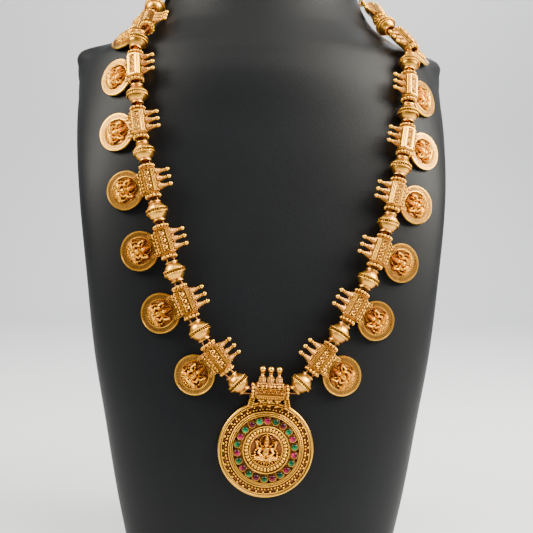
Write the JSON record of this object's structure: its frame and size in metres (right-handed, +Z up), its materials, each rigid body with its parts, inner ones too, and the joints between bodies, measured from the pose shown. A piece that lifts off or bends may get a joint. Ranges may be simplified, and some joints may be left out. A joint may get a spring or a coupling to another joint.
{
  "type": "temple jewellery necklace on a neck bust",
  "caption": "Antique gold temple necklace of coin pieces and hollow beads with a round gem-set deity pendant, lying on a plain black neck bust.",
  "frame": {"origin": "on the table, at the middle of the bust's flat base", "axes": "+Z up, the bust faces -Y, +X to the viewer's right"},
  "size_m": [0.231, 0.154, 0.385],
  "materials": {
    "leatherette": "matt, fine grain",
    "gold": "satin antique gold, dark in the recesses",
    "ruby": "polished",
    "emerald": "polished"
  },
  "bodies": {
    "root": {"bust": "leatherette", "main_pendant": "gold", "rubies": "ruby", "emeralds": "emerald", "bead_left_1": "gold", "bead_left_2": "gold", "bead_left_3": "gold", "bead_left_4": "gold", "bead_left_5": "gold", "bead_left_6": "gold", "bead_left_7": "gold", "bead_left_8": "gold", "bead_right_1": "gold", "bead_right_2": "gold", "bead_right_3": "gold", "bead_right_4": "gold", "bead_right_5": "gold", "bead_right_6": "gold", "bead_right_7": "gold", "bead_right_8": "gold", "coin_left_1": "gold", "coin_left_2": "gold", "coin_left_3": "gold", "coin_left_4": "gold", "coin_left_5": "gold", "coin_left_6": "gold", "coin_left_7": "gold", "coin_left_8": "gold", "coin_right_1": "gold", "coin_right_2": "gold", "coin_right_3": "gold", "coin_right_4": "gold", "coin_right_5": "gold", "coin_right_6": "gold", "coin_right_7": "gold", "coin_right_8": "gold", "thread_inner": "gold", "thread_outer": "gold", "end_cap_left": "gold", "end_cap_right": "gold", "chain_left": "gold", "chain_right": "gold", "spring_ring": "gold"}
  },
  "joints": []
}
